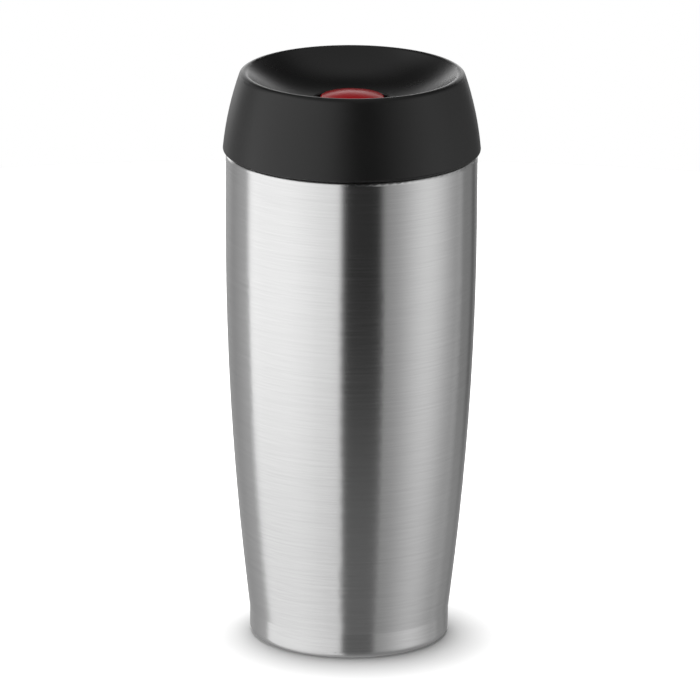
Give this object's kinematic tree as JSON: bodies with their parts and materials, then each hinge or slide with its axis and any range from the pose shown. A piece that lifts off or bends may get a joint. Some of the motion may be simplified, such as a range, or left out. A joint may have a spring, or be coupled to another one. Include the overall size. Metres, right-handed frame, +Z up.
{
  "type": "insulated travel mug",
  "caption": "Double-wall steel travel mug with a barrel-shaped body and a screw-in black lid whose centre button opens an all-round drinking valve.",
  "frame": {"origin": "centre of the resting face, on the mug's axis", "axes": "+Z up along the mug's axis, towards the lid; the mug is round, so X and Y are free, and -Y is taken as the front"},
  "size_m": [0.084, 0.084, 0.19],
  "materials": {
    "brushed_body_steel": "fine brushing round the body",
    "liner_steel": "satin",
    "hidden_steel": "satin",
    "braze": "dull bead of braze",
    "getter_metal": "dull sintered",
    "black_plastic": "soft-touch, fine grain",
    "dark_plastic": "moulded, satin",
    "valve_plastic": "moulded, satin",
    "grey_silicone": "smooth silicone",
    "clear_silicone": "milky silicone",
    "red_silicone": "smooth silicone",
    "white_acetal": "low-friction, satin",
    "blue_white_acetal": "low-friction, satin",
    "red_plastic": "smooth, slightly glossy",
    "spring_steel": "bright drawn wire",
    "screw_steel": "bright"
  },
  "bodies": {
    "mug": {"outer_shell": "brushed_body_steel", "inner_liner": "liner_steel", "vacuum_bottom": "hidden_steel", "base_cover": "brushed_body_steel", "evacuation_seal": "braze", "getter": "getter_metal", "getter_clip": "hidden_steel"},
    "lid_gasket": {"mouth_gasket": "grey_silicone"},
    "lid": {"lid_cover": "black_plastic", "lid_insert": "dark_plastic", "valve_guide": "dark_plastic", "chimney_seal": "clear_silicone", "cam_sleeve": "white_acetal", "stem_seal": "red_silicone", "seal_retainer": "white_acetal", "return_spring": "spring_steel"},
    "button": {"push_button": "red_plastic", "plunger": "white_acetal"},
    "valve": {"valve_stem": "white_acetal", "valve_disc": "valve_plastic", "valve_seal": "clear_silicone", "valve_screw": "screw_steel"},
    "rotor": {"cam_rotor": "blue_white_acetal"}
  },
  "joints": [
    {"name": "lid_rise", "type": "slide", "parent": "mug", "child": "lid_gasket", "axis": [0, 0, 1], "range_m": [0, 0.03]},
    {"name": "lid_turn", "type": "hinge", "parent": "lid_gasket", "child": "lid", "pos_m": [0, 0, 0.1], "axis": [0, 0, 1], "range_deg": [0, 900]},
    {"name": "button_press", "type": "slide", "parent": "lid", "child": "button", "axis": [0, 0, -1], "range_m": [0, 0.004], "stiffness_N_per_m": 1200, "springref_m": -0.002},
    {"name": "valve_slide", "type": "slide", "parent": "lid", "child": "valve", "axis": [0, 0, -1], "range_m": [0, 0.004], "deforming": ["return_spring"]},
    {"name": "rotor_turn", "type": "hinge", "parent": "valve", "child": "rotor", "pos_m": [0, 0, 0.17], "axis": [0, 0, 1], "range_deg": [0, 45]}
  ],
  "couplings": [
    {"joint": "lid_turn", "follows": "lid_rise", "rad_per_m": 523.6},
    {"joint": "valve_slide", "follows": "button_press", "ratio": 1},
    {"joint": "rotor_turn", "follows": "button_press", "rad_per_m": 196.35}
  ]
}
